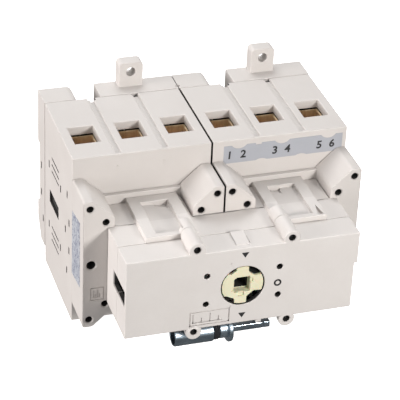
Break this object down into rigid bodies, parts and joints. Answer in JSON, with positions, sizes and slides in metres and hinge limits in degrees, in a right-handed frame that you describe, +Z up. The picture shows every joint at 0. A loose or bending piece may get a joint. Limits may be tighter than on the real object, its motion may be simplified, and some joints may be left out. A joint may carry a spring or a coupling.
{
  "type": "manual transfer switch",
  "caption": "Manual transfer switch: two side-by-side load switch bodies with wire entries top and bottom, joined by a front gearbox with a square-socket drive hub.",
  "frame": {"origin": "on the rear mounting plane, midway between the two switches, at the height of the drive hub's axis", "axes": "+X runs to the viewer's right along the row of poles, +Y points back into the mounting panel, +Z is up"},
  "size_m": [0.1406, 0.1263, 0.1206],
  "materials": {
    "grey_plastic": "light warm-grey moulded thermoplastic, fine satin grain",
    "cream_plastic": "cream glass-filled nylon, satin",
    "white_nylon": "natural nylon gear plastic",
    "black_rubber": "black rubber",
    "copper": "bare copper strip",
    "brass": "brass box clamp, satin",
    "zinc_plate": "blue-white zinc plating",
    "black_steel": "blackened steel screws"
  },
  "bodies": {
    "switch_frame": {"left_base": "grey_plastic", "left_housing": "grey_plastic", "left_front_cover": "grey_plastic", "left_cover_screw_1": "black_steel", "left_cover_screw_2": "black_steel", "left_cover_screw_3": "black_steel", "left_cover_screw_4": "black_steel", "left_top_clamp_1": "brass", "left_top_contact_1": "copper", "left_top_clamp_2": "brass", "left_top_contact_2": "copper", "left_top_clamp_3": "brass", "left_top_contact_3": "copper", "left_bottom_clamp_1": "brass", "left_bottom_contact_1": "copper", "left_bottom_clamp_2": "brass", "left_bottom_contact_2": "copper", "left_bottom_clamp_3": "brass", "left_bottom_contact_3": "copper", "right_base": "grey_plastic", "right_housing": "grey_plastic", "right_front_cover": "grey_plastic", "right_cover_screw_1": "black_steel", "right_cover_screw_2": "black_steel", "right_cover_screw_3": "black_steel", "right_cover_screw_4": "black_steel", "right_top_clamp_1": "brass", "right_top_contact_1": "copper", "right_top_clamp_2": "brass", "right_top_contact_2": "copper", "right_top_clamp_3": "brass", "right_top_contact_3": "copper", "right_bottom_clamp_1": "brass", "right_bottom_contact_1": "copper", "right_bottom_clamp_2": "brass", "right_bottom_contact_2": "copper", "right_bottom_clamp_3": "brass", "right_bottom_contact_3": "copper", "gearbox_front": "grey_plastic", "gearbox_rear": "grey_plastic", "gearbox_screw_1": "black_steel", "gearbox_screw_2": "black_steel", "gearbox_screw_3": "black_steel", "gearbox_screw_4": "black_steel", "coupling_sleeve": "zinc_plate", "coupling_ring": "black_rubber", "coupling_bush": "zinc_plate", "coupling_bar": "zinc_plate"},
    "hub": {"drive_hub": "cream_plastic", "hub_gear": "white_nylon"},
    "left_drive": {"left_gear_shaft": "white_nylon"},
    "right_drive": {"right_gear_shaft": "white_nylon"},
    "left_contacts": {"left_contact_carrier": "white_nylon", "left_moving_contact_1": "copper", "left_moving_contact_2": "copper", "left_moving_contact_3": "copper"},
    "right_contacts": {"right_contact_carrier": "white_nylon", "right_moving_contact_1": "copper", "right_moving_contact_2": "copper", "right_moving_contact_3": "copper"}
  },
  "joints": [
    {"name": "hub_turn", "type": "hinge", "parent": "switch_frame", "child": "hub", "pos_m": [0, -0.1263, 0], "axis": [0, 1, 0], "range_deg": [-90, 90]},
    {"name": "left_shaft_turn", "type": "hinge", "parent": "switch_frame", "child": "left_drive", "pos_m": [-0.03525, -0.1, 0], "axis": [0, 1, 0], "range_deg": [-90, 90]},
    {"name": "right_shaft_turn", "type": "hinge", "parent": "switch_frame", "child": "right_drive", "pos_m": [0.03525, -0.1, 0], "axis": [0, 1, 0], "range_deg": [-90, 90]},
    {"name": "left_contact_slide", "type": "slide", "parent": "switch_frame", "child": "left_contacts", "axis": [1, 0, 0], "range_m": [-0.00534, 0.00534]},
    {"name": "right_contact_slide", "type": "slide", "parent": "switch_frame", "child": "right_contacts", "axis": [1, 0, 0], "range_m": [-0.00534, 0.00534]}
  ],
  "couplings": [
    {"joint": "left_shaft_turn", "follows": "left_contact_slide", "rad_per_m": -294.12},
    {"joint": "right_shaft_turn", "follows": "left_contact_slide", "rad_per_m": -294.12},
    {"joint": "right_contact_slide", "follows": "left_contact_slide", "ratio": 1},
    {"joint": "hub_turn", "follows": "left_contact_slide", "rad_per_m": 294.12}
  ]
}
